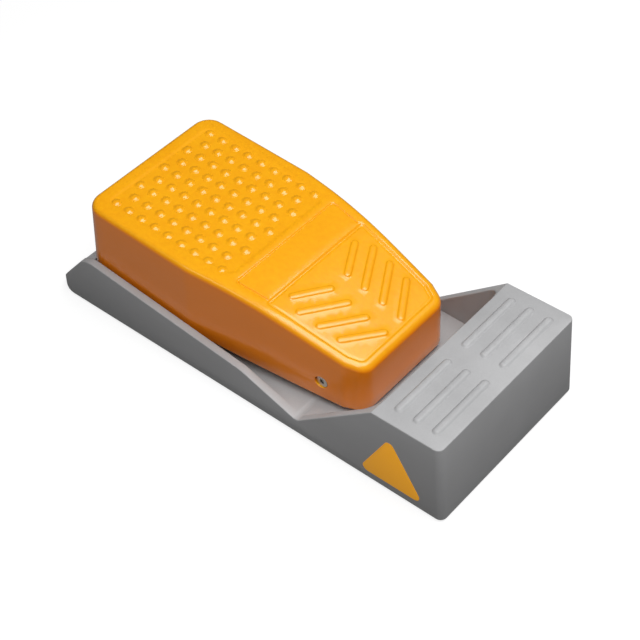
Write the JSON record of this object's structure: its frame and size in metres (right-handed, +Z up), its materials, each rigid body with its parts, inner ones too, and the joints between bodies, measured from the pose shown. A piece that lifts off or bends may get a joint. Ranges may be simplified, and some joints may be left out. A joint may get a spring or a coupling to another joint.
{
  "type": "foot switch",
  "caption": "Industrial foot switch: a long studded pedal with a sloped heel, rocking on a pin in a low cast tray with a ribbed wiring block at the heel end.",
  "frame": {"origin": "centre of the footprint, on the floor under the rubber feet", "axes": "+X along the switch from the toe end to the heel block, +Y to its left seen from the toe end towards the heel, +Z up"},
  "size_m": [0.24, 0.095, 0.063],
  "materials": {
    "cast_grey": "satin",
    "cover_grey": "satin",
    "amber": "satin",
    "black_rubber": "matte",
    "black_case": "satin",
    "ivory": "satin",
    "zinc": "satin",
    "pin_steel": "polished",
    "spring_steel": "satin",
    "brass": "satin",
    "bronze": "satin"
  },
  "bodies": {
    "base": {"base_casting": "cast_grey", "compartment_cover": "cover_grey", "cover_gasket": "black_rubber", "cover_screws": "zinc", "rubber_feet": "black_rubber", "inlet_grommet": "black_rubber", "lead_grommet": "black_rubber", "pivot_bushes": "bronze", "return_springs": "spring_steel", "rest_pads": "black_rubber", "toe_bumpers": "black_rubber", "switch_body": "black_case", "switch_bracket": "zinc", "switch_screws": "zinc", "bracket_screws": "zinc", "switch_terminals": "brass", "terminal_block": "ivory", "terminal_screws": "brass", "block_screws": "zinc", "earth_screw": "brass", "earth_washer": "zinc"},
    "pedal": {"pedal_shell": "amber", "pivot_pin": "pin_steel", "pin_clips": "spring_steel", "actuator_screw": "zinc", "actuator_nut": "zinc"},
    "plunger": {"switch_plunger": "ivory"}
  },
  "joints": [
    {"name": "pedal_hinge", "type": "hinge", "parent": "base", "child": "pedal", "pos_m": [0.0434, 0, 0.0243], "axis": [0, -1, 0], "range_deg": [0, 4.5], "stiffness_Nm_per_rad": 18, "springref_deg": -4.58, "deforming": ["return_springs"]},
    {"name": "plunger_slide", "type": "slide", "parent": "base", "child": "plunger", "axis": [0, 0, -1], "range_m": [0, 0.0042], "stiffness_N_per_m": 300, "springref_m": -0.002}
  ],
  "couplings": [
    {"joint": "plunger_slide", "follows": "pedal_hinge", "m_per_rad": 0.0517}
  ]
}
